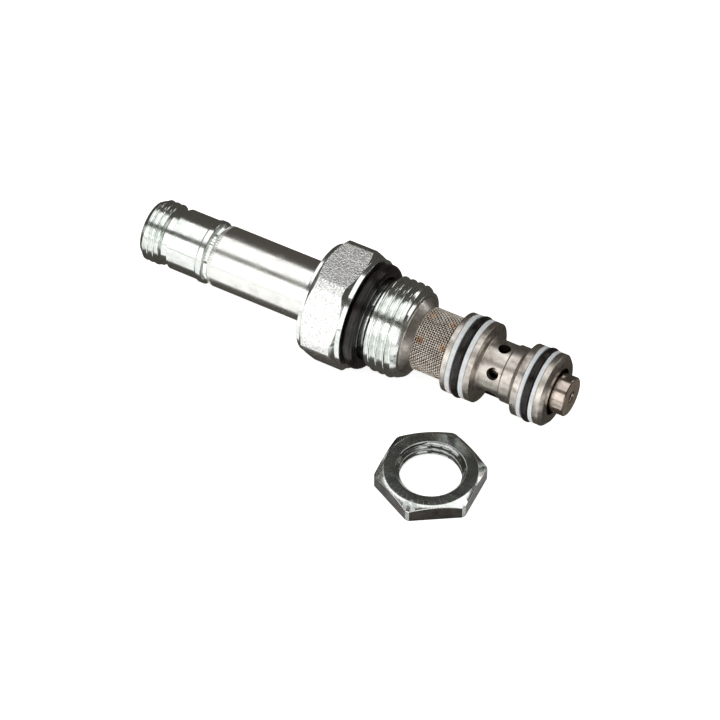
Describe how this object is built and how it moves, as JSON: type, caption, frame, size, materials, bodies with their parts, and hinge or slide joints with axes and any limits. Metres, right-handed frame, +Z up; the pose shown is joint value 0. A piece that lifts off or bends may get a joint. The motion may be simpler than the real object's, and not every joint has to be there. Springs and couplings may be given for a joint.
{
  "type": "cartridge valve",
  "caption": "Screw-in solenoid cartridge valve: smooth coil tube, hexagonal body with a cavity thread, and a stepped, sealed nose holding a sliding spool. The hexagonal coil nut lies beside it.",
  "frame": {"origin": "on the valve's axis, in the plane of the shoulder that seats on the manifold", "axes": "+X along the valve from the coil end to the nose, +Z up; the valve lies on one flat of its hexagon"},
  "size_m": [0.0904, 0.0452, 0.0222],
  "materials": {
    "body_zinc": "bright zinc plate",
    "tube_zinc": "bright zinc plate, smooth turned",
    "nut_zinc": "zinc plate, cloudy",
    "rubber": "semi-gloss nitrile",
    "ptfe": "waxy",
    "cage_steel": "turned, lightly browned",
    "screen_wire": "woven wire",
    "spool_steel": "ground",
    "core_iron": "turned",
    "spring_steel": "drawn wire",
    "brass": "pressed sheet"
  },
  "bodies": {
    "valve_body": {"end_plug": "body_zinc", "plug_o_ring": "rubber", "guide_tube": "tube_zinc", "tube_o_ring": "rubber", "shim_washer": "brass", "return_spring": "spring_steel", "stop_washer": "brass", "hex_body": "body_zinc", "shoulder_o_ring": "rubber", "cage": "cage_steel", "filter_screen": "screen_wire", "upper_backup_ring_rear": "ptfe", "upper_o_ring": "rubber", "upper_backup_ring_front": "ptfe", "lower_backup_ring_rear": "ptfe", "lower_o_ring": "rubber", "lower_backup_ring_front": "ptfe"},
    "armature": {"armature": "core_iron", "rod_retaining_ring": "spring_steel"},
    "spool": {"spool": "spool_steel", "pull_rod": "spool_steel", "cross_pin": "spring_steel"},
    "coil_nut": {"coil_nut": "nut_zinc"}
  },
  "joints": [
    {"name": "armature_stroke", "type": "slide", "parent": "valve_body", "child": "armature", "axis": [-1, 0, 0], "range_m": [0, 0.0022], "stiffness_N_per_m": 1500, "springref_m": -0.0025, "deforming": ["return_spring"]},
    {"name": "spool_stroke", "type": "slide", "parent": "valve_body", "child": "spool", "axis": [-1, 0, 0], "range_m": [0, 0.0022]},
    {"name": "nut_lift", "type": "slide", "parent": "valve_body", "child": "coil_nut", "axis": [0, 0, 1], "range_m": [0, 0.03]}
  ],
  "couplings": [
    {"joint": "spool_stroke", "follows": "armature_stroke", "ratio": 1}
  ]
}
